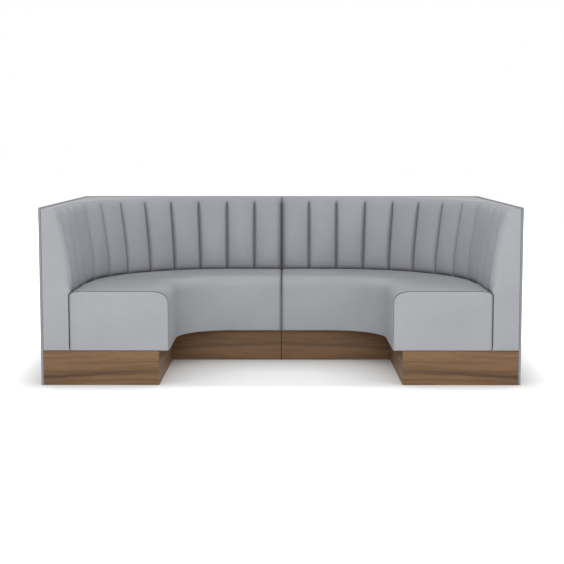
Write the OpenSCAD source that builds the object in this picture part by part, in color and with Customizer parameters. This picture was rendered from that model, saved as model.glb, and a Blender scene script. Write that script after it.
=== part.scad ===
// U-shaped restaurant booth bench in two mirrored halves, in millimetres.
// A walnut base carries a plywood box frame, a deep curved seat and a channelled
// back that keeps one section all the way round the U. The origin is on the
// floor in the middle of the footprint, and the open side faces minus Y.

/* [Overall] */
// Width over the two side panels
overall_w = 2440; // [2200:10:3000]
// Depth from the arm fronts to the rear panels
overall_d = 1534; // [1400:2:1900]
// Height of the outer panels
overall_h = 903; // [860:1:1100]
// How far the outer panels stand above the padded top of the back
lip_h = 5; // [0:1:12]

/* [Base] */
// Height of the base
base_h = 175; // [100:1:220]
// Thickness of the base boards
base_board_t = 18; // [12:1:25]
// How far the base stands back under the arm seats
toe_side = 51; // [20:1:90]
// How far the base stands back under the centre seat
toe_back = 60; // [20:1:90]

/* [Leg space] */
// Width of the leg space between the arm seats
opening_w = 1138; // [900:2:1300]
// Depth of the leg space from the front
opening_d = 722; // [560:1:840]
// Corner radius of the leg space
opening_r = 290; // [120:5:400]

/* [Seat] */
// Height of the seat
seat_h = 482; // [430:1:520]
// Thickness of the seat foam slab
seat_foam_t = 40; // [20:1:60]
// Thickness of the padded skin over the seat front
skirt_t = 14; // [8:1:20]
// How far the foam slab stands back behind the rolled edge
foam_inset = 50; // [30:1:70]
// How far back the rolled front edge reaches
roll_run = 122; // [40:1:160]
// How far down the rolled front edge reaches
roll_drop = 72; // [30:1:110]
// How far the seat rounds off before the back
rear_run = 120; // [30:1:160]
// How far the seat drops where it meets the back
rear_drop = 26; // [10:1:30]
// Thickness of the seat deck
deck_t = 15; // [9:1:22]

/* [Back] */
// Thickness of the back at the seat
back_t = 144; // [120:1:200]
// Flat width along the top of the back
top_t = 65; // [50:1:80]
// Thickness of the back at its shoulder
shoulder_t = 98; // [86:1:112]
// Height of the bevelled shoulder under the top
shoulder_h = 46; // [30:1:80]
// Height above the seat at which the back starts to lean away
rake_rise = 18; // [0:1:80]
// Inner corner radius of the back at the seat
back_r = 770; // [500:5:820]

/* [Channels] */
// Number of channels in each half
channels = 11; // [8:1:13]
// Width of a channel along the rear
channel_w = 168; // [120:1:180]
// Number of channels of that width, from the centre joint
narrow_channels = 7; // [4:0.5:7]
// Plain border between the last channel and the arm front
border_w = 108; // [30:1:140]
// Depth of the grooves between the channels
groove_depth = 16; // [4:0.5:18]
// How far the channels and the arm end swell in front of the section
crest_rise = 14; // [2:0.5:16]
// How much further they swell toward the seat, as a share
crest_gain = 0.6; // [0:0.05:0.6]
// Height above the seat at which they have swollen to the full
full_rise = 42; // [20:1:80]

/* [Panels and boards] */
// Thickness of the outer side and rear panels
panel_t = 12; // [9:1:18]
// Thickness of the end covers on seat and arm
end_cover_t = 12; // [6:1:18]
// Thickness of the floor board under seat and back
floor_board_t = 15; // [9:1:22]
// Thickness of ribs and frame boards
rib_t = 18; // [12:1:25]
// Thickness of the bent boards at the seat front and rear
bent_board_t = 12; // [6:1:14]
// Thickness of the bent skin of the back
skin_t = 6; // [3:1:8]
// Thickness of the foam pad on that skin
pad_t = 6; // [3:1:10]
// Thickness of the plate along the top of the back
top_plate_t = 18; // [12:1:22]
// Thickness of the covered cap on that plate
cap_t = 6; // [3:1:10]
// Side of the square post in each rear corner
post_w = 40; // [30:1:60]

/* [Fasteners] */
// Diameter of the bolts that join the halves
bolt_d = 10; // [8:1:12]
// Hex size of their heads and nuts
bolt_hex = 16; // [13:1:19]
// Diameter of the washers
washer_d = 22; // [20:1:30]
// Thickness of the washers
washer_t = 2; // [1:0.5:3]
// Diameter of the screws in the floor board
screw_d = 5; // [4:0.5:6]
// Length of those screws under the head
screw_l = 50; // [30:1:60]

/* [Hidden] */

// One overrun serves all cuts
over = 5;
// Gap that keeps soft pieces clear of their neighbours
fit = 0.3;
// Half of the dark joint between the two halves
joint_gap = 1.5;
// Shadow joint between the base and the covers
base_gap = 2;

// Plan places shared by everything. Each half is drawn at minus X.
front_y = -overall_d / 2;
rear_y = overall_d / 2 - panel_t;
side_x = -overall_w / 2 + panel_t;
cover_y = front_y + end_cover_t;
frame_y = cover_y + deck_t;
corner_x = -overall_w / 2 + back_t + back_r;
corner_y = overall_d / 2 - back_t - back_r;
leg_x = -opening_w / 2;
leg_y = front_y + opening_d;
base_x = leg_x - toe_side;
base_y = leg_y + toe_back;

// Heights
cover_z = base_h + base_gap;
box_z = base_h + floor_board_t;
foam_top = seat_h - rear_drop * 5 / 4;
deck_top = foam_top - seat_foam_t;
deck_z = deck_top - deck_t;
top_z = overall_h - lip_h;
cap_z = top_z - cap_t;
plate_z = cap_z - top_plate_t;
shoulder_z = top_z - shoulder_h;
rake_z = seat_h + rake_rise;

// Layers of the back, as depths behind its face
pad_face = groove_depth + skirt_t / 4;
skin_face = pad_face + pad_t;
rib_face = skin_face + skin_t;
// Inner edge of the plate and cap along the top, from the outer face
cap_in_t = top_t - cap_t * 3 / 4;

// The seat falls a little toward the back where it is deepest
fall_share = 0.08;
arm_seat_d = overall_w / 2 - back_t - opening_w / 2;
// How the back curves as it leans, and the roundness of its shoulder
lean_power = 1.5;
bevel_power = 1.5;
// Fullness of a channel across its width, and of its rounded head
puff_power = 0.55;
head_power = 0.4;
// Depths below the top where the channels start to fill out and where they are full,
// as shares of the leaning height
fill_top_share = 0.03;
fill_full_share = 0.25;
// Steps of the round edges in plan
round_steps = 180;

// Thickness of the back at height z, from the outer face
function back_at(z) =
  z <= rake_z ? back_t
  : z <= shoulder_z
    ? back_t - (back_t - shoulder_t) * pow((z - rake_z) / (shoulder_z - rake_z), lean_power)
    : top_t + (shoulder_t - top_t)
      * pow(max(0, 1 - pow((z - shoulder_z) / shoulder_h, bevel_power)), 1 / bevel_power);

// Heights at which the back's section is drawn
rake_shares = [0.07, 0.38, 0.72, 1];
rake_levels = [for (k = rake_shares) rake_z + k * (shoulder_z - rake_z)];
bevel_shares = [0.45, 0.8, 1];
bevel_levels = [for (k = bevel_shares) shoulder_z + k * shoulder_h];

// Section line of the back, from height z0 up to z1, lying depth behind the face
function back_line(z0, z1, depth) = [
  [back_at(z0) - depth, z0],
  for (z = concat(rake_levels, bevel_levels)) if (z > z0 && z < z1) [back_at(z) - depth, z],
  [back_at(z1) - depth, z1]
];

// Plan outline of the leg space, grown by k on every side
module opening_plan(k) {
  r = opening_r + k;
  w = opening_w + 2 * k;
  far = leg_y + k;
  translate([-w / 2, front_y - over]) square([w, far - r - front_y + over]);
  translate([-w / 2 + r, front_y - over]) square([w - 2 * r, far - front_y + over]);
  for (x = [-w / 2 + r, w / 2 - r]) translate([x, far - r]) circle(r = r, $fn = round_steps);
}

// Plan outline of the room inside the back, at depth t from the outer faces
module inside_plan(t) {
  r = back_r + back_t - t;
  w = overall_w - 2 * t;
  far = overall_d / 2 - t;
  translate([-w / 2, front_y - over]) square([w, corner_y - front_y + over]);
  translate([corner_x, front_y - over]) square([-2 * corner_x, far - front_y + over]);
  for (x = [corner_x, -corner_x]) translate([x, corner_y]) circle(r = r, $fn = round_steps);
}

// Rectangle of one half inside the outer panels, from y0 to the rear, to x1
module half_plan(y0, x1) {
  translate([side_x, y0]) square([x1 - side_x, rear_y - y0]);
}

// Carries a section [[t, z], ...] round the back, t being measured inward
// from the outer faces, from the arm front at y0 to the centre joint at x1
module carry_round(line, y0, x1) {
  translate([-overall_w / 2, corner_y, 0]) rotate([90, 0, 0])
    linear_extrude(corner_y - y0) polygon(line);
  translate([corner_x, corner_y, 0]) rotate([0, 0, 90]) rotate_extrude(angle = 90, $fn = round_steps)
    polygon([for (p = line) [back_r + back_t - p[0], p[1]]]);
  translate([corner_x, overall_d / 2, 0]) rotate([90, 0, 90])
    linear_extrude(x1 - corner_x) polygon([for (p = line) [-p[0], p[1]]]);
}

// Closed band between two depths behind the face of the back
function back_band(z0, z1, near, far) =
  concat(back_line(z0, z1, near), [for (i = [1 : len(back_line(z0, z1, far))])
    back_line(z0, z1, far)[len(back_line(z0, z1, far)) - i]]);

// Closes a row of rings into one solid. Each ring has n points up the outside
// and n points down the inside, and each end is closed by a strip of triangles.
module ring_solid(rings, n) {
  m = 2 * n;
  last = (len(rings) - 1) * m;
  polyhedron(
    points = [for (r = rings) each r],
    faces = concat(
      [for (i = [0 : len(rings) - 2], j = [0 : m - 1])
        [i * m + j, (i + 1) * m + (j + 1) % m, i * m + (j + 1) % m]],
      [for (i = [0 : len(rings) - 2], j = [0 : m - 1])
        [i * m + j, (i + 1) * m + j, (i + 1) * m + (j + 1) % m]],
      [for (j = [0 : n - 2]) [j, j + 1, m - 2 - j]],
      [for (j = [0 : n - 2]) [j, m - 2 - j, m - 1 - j]],
      [for (j = [0 : n - 2]) [last + j, last + m - 2 - j, last + j + 1]],
      [for (j = [0 : n - 2]) [last + j, last + m - 1 - j, last + m - 2 - j]]
    )
  );
}

// Base boards

module base_front_board() color("#7a5d43")
  translate([side_x, front_y, 0]) cube([base_x - side_x, base_board_t, base_h]);

module base_inner_board() color("#75593f") difference() {
  translate([base_x - base_board_t, front_y + base_board_t, 0])
    cube([base_board_t, base_y - front_y, base_h]);
  floor_screw_holes();
}

module base_centre_board() color("#6f543c") difference() {
  translate([base_x, base_y, 0]) cube([-base_x, base_board_t, base_h]);
  floor_screw_holes();
}

module base_side_rail() color("#d8c39a") difference() {
  translate([side_x, front_y + base_board_t, 0])
    cube([base_board_t, rear_y - front_y - base_board_t, base_h]);
  floor_screw_holes();
}

module base_rear_rail() color("#d4be94") difference() {
  translate([side_x + base_board_t, rear_y - base_board_t, 0])
    cube([-side_x - base_board_t, base_board_t, base_h]);
  floor_screw_holes();
}

// Cross rails of the base: two under the arm seat, three under the centre
arm_rail_shares = [0.36, 0.75];
module base_cross_rails() color("#cfb88c") {
  x0 = side_x + base_board_t;
  y0 = base_y + base_board_t;
  for (k = arm_rail_shares) translate([x0, front_y + k * (base_y - front_y), 0])
    cube([base_x - base_board_t - x0, base_board_t, base_h]);
  for (x = [base_x - base_board_t, base_x / 2, -base_board_t]) translate([x, y0, 0])
    cube([base_board_t, rear_y - base_board_t - y0, base_h]);
}

// Box frame

module floor_board() color("#e0cfa8") difference() {
  translate([0, 0, base_h]) linear_extrude(floor_board_t) difference() {
    half_plan(cover_y, 0);
    opening_plan(skirt_t);
  }
  floor_screw_holes();
}

module seat_front_board() color("#dcc79b")
  translate([0, 0, box_z]) linear_extrude(deck_z - box_z) intersection() {
    difference() {
      opening_plan(skirt_t + bent_board_t);
      opening_plan(skirt_t);
    }
    half_plan(frame_y, -rib_t);
  }

module seat_rear_board() color("#dcc79b")
  translate([0, 0, box_z]) linear_extrude(deck_z - box_z) intersection() {
    difference() {
      inside_plan(back_t - skin_face);
      inside_plan(back_t - skin_face + bent_board_t);
    }
    half_plan(frame_y, -rib_t);
  }

// Angles of the ribs round the corner, from the centre toward the arm
rib_angles = [0, 30, 60, 90];
// Place of the front rib of the arm, as a share of its straight length
arm_rib_share = 0.48;
arm_rib_y = frame_y + arm_rib_share * (corner_y - frame_y);

// Upright plate with the given outline, standing on a line from the corner centre
module corner_plate(angle, outline) {
  translate([corner_x, corner_y, 0]) rotate([0, 0, 90 + angle])
    rotate([90, 0, 0]) linear_extrude(rib_t, center = true) polygon(outline);
}

module seat_ribs() color("#d9c496") {
  rear_r = back_r + skin_face - bent_board_t - fit;
  for (a = rib_angles) difference() {
    corner_plate(a, [[0, box_z], [rear_r, box_z], [rear_r, deck_z], [0, deck_z]]);
    translate([0, 0, box_z - over]) linear_extrude(deck_z - box_z + 2 * over)
      opening_plan(skirt_t + bent_board_t);
  }
  x1 = leg_x - skirt_t - bent_board_t;
  translate([corner_x - rear_r, arm_rib_y - rib_t / 2, box_z])
    cube([x1 - corner_x + rear_r, rib_t, deck_z - box_z]);
}

// Outline of the seat end, drawn in X and Z, set in by k, with its foot at z0
function seat_end_outline(k, z0) = [
  [leg_x - k, z0],
  for (a = [0 : 9 : 90])
    [leg_x - k - (roll_run - k) * (1 - cos(a)), seat_h - k - (roll_drop - k) * (1 - sin(a))],
  for (a = [0 : 9 : 90])
    [-overall_w / 2 + back_t + k + (rear_run - k) * (1 - sin(a)),
      seat_h - k - rear_drop * (1 - cos(a))],
  [-overall_w / 2 + back_t + k, z0]
];

module seat_end_board() color("#d6c092")
  translate([0, frame_y, 0]) rotate([90, 0, 0]) linear_extrude(deck_t)
    polygon([
      [leg_x - skirt_t, box_z], [leg_x - skirt_t, deck_top],
      [leg_x - foam_inset, deck_top], [leg_x - foam_inset, foam_top - fit],
      [corner_x - back_r + skirt_t, foam_top - fit], [corner_x - back_r + skirt_t, box_z]
    ]);

module seat_deck() color("#e3d3ad")
  translate([0, 0, deck_z]) linear_extrude(deck_t) intersection() {
    difference() {
      inside_plan(back_t - skin_face);
      opening_plan(skirt_t);
    }
    half_plan(frame_y, -joint_gap);
  }

// Seat cover: one padded skin over the front, the rolled edge and the top.
// Each station has a point on the leg space outline and a direction to the back.
fillet_angles = [90 : -6 : 0];
seat_stations = concat(
  [[-joint_gap, leg_y, 0, 1], [(leg_x + opening_r) / 2, leg_y, 0, 1]],
  [for (a = fillet_angles) [leg_x + opening_r * (1 - cos(a)),
    leg_y - opening_r * (1 - sin(a)), -cos(a), sin(a)]],
  [for (y = [(cover_y + leg_y - opening_r) / 2, cover_y]) [leg_x, y, -1, 0]]
);

// Distance from point s along its direction to the face of the back
function seat_depth(s) =
  let (
    dx = s[0] - corner_x,
    dy = s[1] - corner_y,
    b = dx * s[2] + dy * s[3],
    to_arc = -b + sqrt(max(0, b * b - dx * dx - dy * dy + back_r * back_r)),
    to_arm = s[2] < 0 ? (corner_x - back_r - s[0]) / s[2] : overall_w,
    to_rear = s[3] > 0 ? (corner_y + back_r - s[1]) / s[3] : overall_d
  )
  s[1] + to_arc * s[3] < corner_y ? to_arm
  : s[0] + to_arc * s[2] > corner_x ? to_rear
  : to_arc;

// Places on the outside of the seat section, as [distance back, height]
roll_angles = [0, 18, 36, 54, 72, 90];
function seat_outside(d) =
  let (fall = fall_share * (d - arm_seat_d)) [
    [0, cover_z],
    for (a = roll_angles) [roll_run * (1 - cos(a)), seat_h - roll_drop * (1 - sin(a))],
    [(d + roll_run - rear_run) / 2, seat_h - fall / 2],
    for (a = [90, 65, 40, 15]) [d - rear_run * (1 - cos(a)),
      seat_h - fall - (rear_drop - fall / 2) * (1 - sin(a))],
    [d - 5 * fit, foam_top - fall / 2 - rear_drop / 4],
    [d - 5 * fit, deck_top + fit]
  ];
// Matching places on the inside of that section, from the rear to the front
function seat_inside(d) = [
  [d - skirt_t + fit, deck_top + fit],
  [d - skirt_t + fit, foam_top - fit],
  [d - skirt_t - fit, foam_top],
  [d - rear_run / 3, foam_top],
  [d - rear_run * 2 / 3, foam_top],
  [d - rear_run, foam_top],
  [(d + roll_run - rear_run) / 2, foam_top],
  [roll_run, foam_top],
  [(roll_run + foam_inset) / 2, foam_top],
  [foam_inset + fit, foam_top],
  [foam_inset - fit, foam_top - fit],
  [foam_inset - fit, deck_top + fit],
  [skirt_t - fit, deck_top + fit / 2],
  [skirt_t - fit, cover_z]
];
// Point at distance p along the direction of station s
function seat_point(s, p) = [s[0] + p * s[2], s[1] + p * s[3]];
function seat_ring(s) = let (d = seat_depth(s))
  [for (p = concat(seat_outside(d), seat_inside(d))) [each seat_point(s, p[0]), p[1]]];

module seat_cover() color("#a6a8b0")
  ring_solid([for (s = seat_stations) seat_ring(s)], len(seat_outside(arm_seat_d)));

// The foam slab follows the same stations, inside the cover
module seat_foam() color("#efe3b0")
  translate([0, 0, deck_top]) linear_extrude(seat_foam_t - fit) intersection() {
    polygon(concat(
      [for (s = seat_stations) seat_point(s, foam_inset)],
      [for (i = [1 : len(seat_stations)]) let (s = seat_stations[len(seat_stations) - i])
        seat_point(s, seat_depth(s) - skirt_t)]
    ));
    half_plan(frame_y, -joint_gap);
  }

module seat_end_cover() color("#adb0b5")
  translate([0, cover_y, 0]) rotate([90, 0, 0]) linear_extrude(end_cover_t)
    polygon(seat_end_outline(fit, cover_z));

// Back frame

// Distances along the rear where the frames of the halves are bolted together
bolt_inset = 40;
bolt_spots = [
  [leg_y + skirt_t + 2 * bolt_inset, (box_z + deck_z) / 2],
  [(leg_y + overall_d / 2) / 2, (box_z + deck_z) / 2],
  [rear_y - bolt_inset, (box_z + deck_z) / 2],
  [rear_y - bolt_inset, (deck_z + plate_z) / 2],
  [rear_y - bolt_inset, plate_z - 2 * bolt_inset]
];

module joint_board() color("#d6c092") difference() {
  line = back_line(deck_z, plate_z, skin_face);
  rotate([90, 0, 90]) translate([0, 0, -rib_t]) linear_extrude(rib_t) polygon(concat(
    [[rear_y, box_z], [leg_y + skirt_t, box_z], [leg_y + skirt_t, deck_z]],
    [for (p = line) [overall_d / 2 - p[0], p[1]]],
    [[rear_y, plate_z]]
  ));
  for (p = bolt_spots) translate([-rib_t - over, p[0], p[1]]) rotate([0, 90, 0])
    cylinder(d = bolt_d + fit, h = rib_t + 2 * over, $fn = 32);
}

module back_ribs() color("#d9c496") {
  line = back_line(box_z, plate_z, rib_face);
  reach = overall_w;
  for (a = rib_angles) intersection() {
    corner_plate(a, concat(
      [[reach, box_z]],
      [for (p = line) [back_r + back_t - p[0], p[1]]],
      [[reach, plate_z]]
    ));
    translate([0, 0, box_z - over]) linear_extrude(plate_z - box_z + 2 * over)
      half_plan(front_y, 0);
  }
  translate([-overall_w / 2, arm_rib_y + rib_t / 2, 0]) rotate([90, 0, 0]) linear_extrude(rib_t)
    polygon(concat([[panel_t, box_z]], line, [[panel_t, plate_z]]));
}

module arm_end_board() color("#d6c092")
  translate([-overall_w / 2, frame_y, 0]) rotate([90, 0, 0]) linear_extrude(deck_t)
    polygon(concat([[panel_t, box_z]], back_line(box_z, plate_z, pad_face + fit),
      [[panel_t, plate_z]]));

module back_skin() color("#dcc79b")
  carry_round(back_band(box_z, plate_z, skin_face, rib_face), frame_y, -rib_t);

module back_pad() color("#efe3b0")
  carry_round(back_band(deck_top, plate_z, pad_face, skin_face), frame_y, -joint_gap);

// Channelled cover. Places along it are measured from the centre joint round to
// the arm front, on a line that lies path_in behind the face at seat height.
path_in = pad_face + skin_t;
path_r = back_r + path_in;
arc_start = -corner_x;
arc_end = arc_start + path_r * PI / 2;
path_end = arc_end + corner_y - cover_y;
wide_w = (path_end - border_w - channel_w * narrow_channels) / (channels - narrow_channels);
function groove_at(k) =
  k <= narrow_channels ? k * channel_w
  : narrow_channels * channel_w + (k - narrow_channels) * wide_w;

// Point at place s along the back, at depth t from the outer face
function round_point(s, t, z) =
  let (r = back_r + back_t - t, a = (s - arc_start) / path_r * 180 / PI)
  s <= arc_start ? [-s, overall_d / 2 - t, z]
  : s <= arc_end ? [corner_x - r * sin(a), corner_y + r * cos(a), z]
  : [-overall_w / 2 + t, corner_y - s + arc_end, z];

// Share of the full swell of a channel at height z
foot_z = seat_h - rear_drop * 3 / 4;
foot_full_z = seat_h + full_rise;
fill_z = top_z - fill_top_share * (top_z - rake_z);
full_z = top_z - fill_full_share * (top_z - rake_z);
function fill_at(z) =
  z >= fill_z || z <= foot_z ? 0
  : z >= full_z ? pow(sin(90 * (fill_z - z) / (fill_z - full_z)), head_power)
  : sin(90 * min(1, (z - foot_z) / (foot_full_z - foot_z)));

// Height of the crests at height z: less at the shoulder, more toward the seat
crest_low_share = 0.75;
function crest_at(z) = fill_at(z) * crest_rise
  * (crest_low_share + crest_gain * (shoulder_z - min(z, shoulder_z)) / (shoulder_z - rake_z));

// Swell in front of the section line, u being the share of a channel's width
function swell(u, z) =
  let (full = pow(max(0, sin(180 * u)), puff_power))
  full * crest_at(z) - (1 - full) * groove_depth * fill_at(z);

// Stations of the cover, as [place, share across the channel]
across_shares = [0, 0.09, 0.3, 0.7, 0.91];
border_shares = [0, 0.25, 0.6, 1];
border_swell_shares = [0, 0.09, 0.25, 0.5];
cover_stations = concat(
  [for (k = [0 : channels - 1], u = across_shares)
    [max(joint_gap, groove_at(k) + u * (groove_at(k + 1) - groove_at(k))), u]],
  [for (k = [0 : len(border_shares) - 1])
    [groove_at(channels) + border_shares[k] * border_w, border_swell_shares[k]]]
);
foot_levels = concat([deck_top + fit, foot_z, seat_h], rake_levels);
function cover_ring(s) = concat(
  [for (z = concat(foot_levels, [bevel_levels[0]])) round_point(s[0], back_at(z) + swell(s[1], z), z)],
  [for (t = [top_t, cap_in_t + fit]) round_point(s[0], t, top_z)],
  [for (t = [cap_in_t, back_at(plate_z) - pad_face]) round_point(s[0], t + fit, plate_z + fit)],
  [for (z = concat([(shoulder_z + plate_z) / 2], [for (i = [1 : len(foot_levels)])
    foot_levels[len(foot_levels) - i]])) round_point(s[0], back_at(z) - pad_face + fit, z)]
);

module back_cover() color("#9b9ca6")
  ring_solid([for (s = cover_stations) cover_ring(s)], len(foot_levels) + 3);

module arm_end_cover() color("#adb0b5")
  translate([-overall_w / 2, cover_y, 0]) rotate([90, 0, 0]) linear_extrude(end_cover_t)
    polygon(concat(
      [[panel_t, cover_z], [back_t, cover_z]],
      [for (z = concat([foot_z, seat_h], rake_levels, [bevel_levels[0], bevel_levels[1]]))
        [back_at(z) + crest_at(z), z]],
      [[top_t, top_z], [panel_t, top_z]]
    ));

module top_plate() color("#dcc79b")
  translate([0, 0, plate_z]) linear_extrude(top_plate_t) difference() {
    half_plan(cover_y, 0);
    inside_plan(cap_in_t);
  }

module top_cap() color("#b4b6bc")
  translate([0, 0, cap_z]) linear_extrude(cap_t) difference() {
    half_plan(cover_y, -joint_gap);
    inside_plan(cap_in_t);
  }

module corner_post() color("#d4be94")
  translate([side_x, rear_y - post_w, box_z]) cube([post_w, post_w, plate_z - box_z]);

module side_panel() color("#8f9296")
  translate([-overall_w / 2, front_y, 0]) cube([panel_t, overall_d, overall_h]);

module rear_panel() color("#8b8e92")
  translate([side_x, rear_y, 0]) cube([-side_x, panel_t, overall_h]);

// Fasteners

nut_h = bolt_d * 4 / 5;
head_h = bolt_d * 16 / 25;
module joint_bolts() color("#9a9c9e")
  for (p = bolt_spots) translate([-rib_t - washer_t, p[0], p[1]]) rotate([0, 90, 0]) {
    translate([0, 0, -head_h]) cylinder(d = bolt_hex / cos(30), h = head_h, $fn = 6);
    cylinder(d = bolt_d, h = 2 * (rib_t + washer_t) + nut_h + bolt_d / 4, $fn = 32);
  }

module joint_washers() color("#b0b2b4")
  for (p = bolt_spots, x = [-rib_t - washer_t, rib_t]) translate([x, p[0], p[1]]) rotate([0, 90, 0])
    difference() {
      cylinder(d = washer_d, h = washer_t, $fn = 32);
      translate([0, 0, -over]) cylinder(d = bolt_d + fit, h = washer_t + 2 * over, $fn = 32);
    }

module joint_nuts() color("#8e9092")
  for (p = bolt_spots) translate([rib_t + washer_t, p[0], p[1]]) rotate([0, 90, 0])
    difference() {
      cylinder(d = bolt_hex / cos(30), h = nut_h, $fn = 6);
      translate([0, 0, -over]) cylinder(d = bolt_d + fit / 3, h = nut_h + 2 * over, $fn = 32);
    }

// Screws that hold the floor board on the base, over the middle of its boards
screw_head_d = 2 * screw_d;
screw_head_h = screw_d * 3 / 5;
rail_shares = [0.12, 0.5, 0.88];
arm_shares = [0.3, 0.65];
centre_shares = [0.3, 0.8];
screw_spots = concat(
  [for (k = rail_shares) [side_x + base_board_t / 2, front_y + k * overall_d]],
  [for (k = rail_shares) [(side_x + 3 * base_board_t) * k, rear_y - base_board_t / 2]],
  [for (k = arm_shares) [base_x - base_board_t / 2, front_y + k * (base_y - front_y)]],
  [for (k = centre_shares) [base_x * k, base_y + base_board_t / 2]]
);

module floor_screw_holes()
  for (p = screw_spots) translate([p[0], p[1], box_z - screw_l - over])
    cylinder(d = screw_d + fit, h = screw_l + 2 * over, $fn = 24);

module floor_screws() color("#a8a9ab")
  for (side = [1, -1], p = screw_spots) translate([side * p[0], p[1], box_z]) {
    cylinder(d = screw_head_d, h = screw_head_h, $fn = 24);
    translate([0, 0, -screw_l]) cylinder(d = screw_d, h = screw_l, $fn = 24);
  }

// Turns a piece of the left half into its twin on the right
module twin() mirror([1, 0, 0]) children();

base_front_board();  // left_base_front_board
base_inner_board();  // left_base_inner_board
base_centre_board();  // left_base_centre_board
base_side_rail();  // left_base_side_rail
base_rear_rail();  // left_base_rear_rail
base_cross_rails();  // left_base_cross_rails
floor_board();  // left_floor_board
seat_front_board();  // left_seat_front_board
seat_rear_board();  // left_seat_rear_board
seat_ribs();  // left_seat_ribs
seat_end_board();  // left_seat_end_board
seat_deck();  // left_seat_deck
seat_foam();  // left_seat_foam
seat_cover();  // left_seat_cover
seat_end_cover();  // left_seat_end_cover
joint_board();  // left_joint_board
back_ribs();  // left_back_ribs
arm_end_board();  // left_arm_end_board
back_skin();  // left_back_skin
back_pad();  // left_back_pad
back_cover();  // left_back_cover
arm_end_cover();  // left_arm_end_cover
top_plate();  // left_top_plate
top_cap();  // left_top_cap
corner_post();  // left_corner_post
side_panel();  // left_side_panel
rear_panel();  // left_rear_panel
twin() base_front_board();  // right_base_front_board
twin() base_inner_board();  // right_base_inner_board
twin() base_centre_board();  // right_base_centre_board
twin() base_side_rail();  // right_base_side_rail
twin() base_rear_rail();  // right_base_rear_rail
twin() base_cross_rails();  // right_base_cross_rails
twin() floor_board();  // right_floor_board
twin() seat_front_board();  // right_seat_front_board
twin() seat_rear_board();  // right_seat_rear_board
twin() seat_ribs();  // right_seat_ribs
twin() seat_end_board();  // right_seat_end_board
twin() seat_deck();  // right_seat_deck
twin() seat_foam();  // right_seat_foam
twin() seat_cover();  // right_seat_cover
twin() seat_end_cover();  // right_seat_end_cover
twin() joint_board();  // right_joint_board
twin() back_ribs();  // right_back_ribs
twin() arm_end_board();  // right_arm_end_board
twin() back_skin();  // right_back_skin
twin() back_pad();  // right_back_pad
twin() back_cover();  // right_back_cover
twin() arm_end_cover();  // right_arm_end_cover
twin() top_plate();  // right_top_plate
twin() top_cap();  // right_top_cap
twin() corner_post();  // right_corner_post
twin() side_panel();  // right_side_panel
twin() rear_panel();  // right_rear_panel
joint_bolts();
joint_washers();
joint_nuts();
floor_screws();
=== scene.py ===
import math

import bmesh
import bpy
import numpy as np
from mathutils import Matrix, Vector


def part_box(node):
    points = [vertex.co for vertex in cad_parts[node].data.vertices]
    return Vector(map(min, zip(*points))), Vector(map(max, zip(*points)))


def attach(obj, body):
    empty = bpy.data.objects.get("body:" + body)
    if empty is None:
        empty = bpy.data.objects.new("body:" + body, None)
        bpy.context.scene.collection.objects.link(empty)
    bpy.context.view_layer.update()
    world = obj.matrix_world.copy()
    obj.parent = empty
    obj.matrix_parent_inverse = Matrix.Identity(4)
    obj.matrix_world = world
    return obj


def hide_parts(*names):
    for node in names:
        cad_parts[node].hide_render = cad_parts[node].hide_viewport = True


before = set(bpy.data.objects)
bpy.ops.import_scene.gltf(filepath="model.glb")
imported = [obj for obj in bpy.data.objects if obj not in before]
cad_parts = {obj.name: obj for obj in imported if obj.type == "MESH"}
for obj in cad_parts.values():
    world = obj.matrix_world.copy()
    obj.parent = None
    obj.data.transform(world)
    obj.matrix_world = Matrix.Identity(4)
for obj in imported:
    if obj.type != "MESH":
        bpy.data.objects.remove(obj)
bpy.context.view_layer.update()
scene = bpy.context.scene

# Camera: place, turns in degrees and lens in millimetres
CAMERA_PLACE = (0.0238, -7.152, 1.2027)
CAMERA_DOWN = 6.031
CAMERA_LEFT = 0.163
CAMERA_LENS = 81.15


def make_camera():
    """The camera at the photograph's viewpoint."""
    data = bpy.data.cameras.new("camera")
    data.lens = CAMERA_LENS
    data.clip_end = 60
    camera = bpy.data.objects.new("camera", data)
    camera.location = CAMERA_PLACE
    camera.rotation_euler = (math.radians(90 - CAMERA_DOWN), 0, math.radians(CAMERA_LEFT))
    scene.collection.objects.link(camera)
    scene.camera = camera


make_camera()

# Gaps at the centre joint of the seat and of the back, and between pieces that touch
JOINT_GAP = 0.0004
BACK_GAP = 0.0009
FIT = 0.0003

# Sizes read from the frame
panel_lo, panel_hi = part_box("left_side_panel")
seat_lo, seat_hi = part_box("left_seat_cover")
_, end_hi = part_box("left_seat_end_cover")
plate_lo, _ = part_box("left_top_plate")
foam_lo, foam_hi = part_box("left_seat_foam")
cap_lo, cap_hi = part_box("left_top_cap")
HALF_W = -panel_lo.x
PANEL_T = panel_hi.x - panel_lo.x
FRONT_Y = panel_lo.y
REAR_Y = panel_hi.y
TOP_Z = cap_hi.z
COVER_Y = seat_lo.y
COVER_Z = seat_lo.z
SEAT_Z = seat_hi.z
LEG_X = end_hi.x + FIT
PLATE_Z = plate_lo.z
CAP_Z = cap_lo.z
FOAM_LO_Z = foam_lo.z
FOAM_HI_Z = foam_hi.z

# Sizes of the back's section, in the same terms as the frame
LEG_D = 0.722
LEG_R = 0.290
LEG_Y = FRONT_Y + LEG_D
BACK_T = 0.144
BACK_R = 0.770
TOP_T = 0.065
CAP_IN_T = 0.0605
SHOULDER_T = 0.098
SHOULDER_Z = TOP_Z - 0.046
LEAN_POWER = 1.5
BEVEL_POWER = 1.5
RAKE_Z = SEAT_Z + 0.018
PAD_BACK = 0.0255
PAD_COVER = 0.0225
PAD_START = 0.004
FOOT_Z = FOAM_LO_Z + FIT
BACK_POINTS = 72
FINE_PLACES = ((0.875, 0.022, 1.6), (0.470, 0.03, 1.0))

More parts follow.
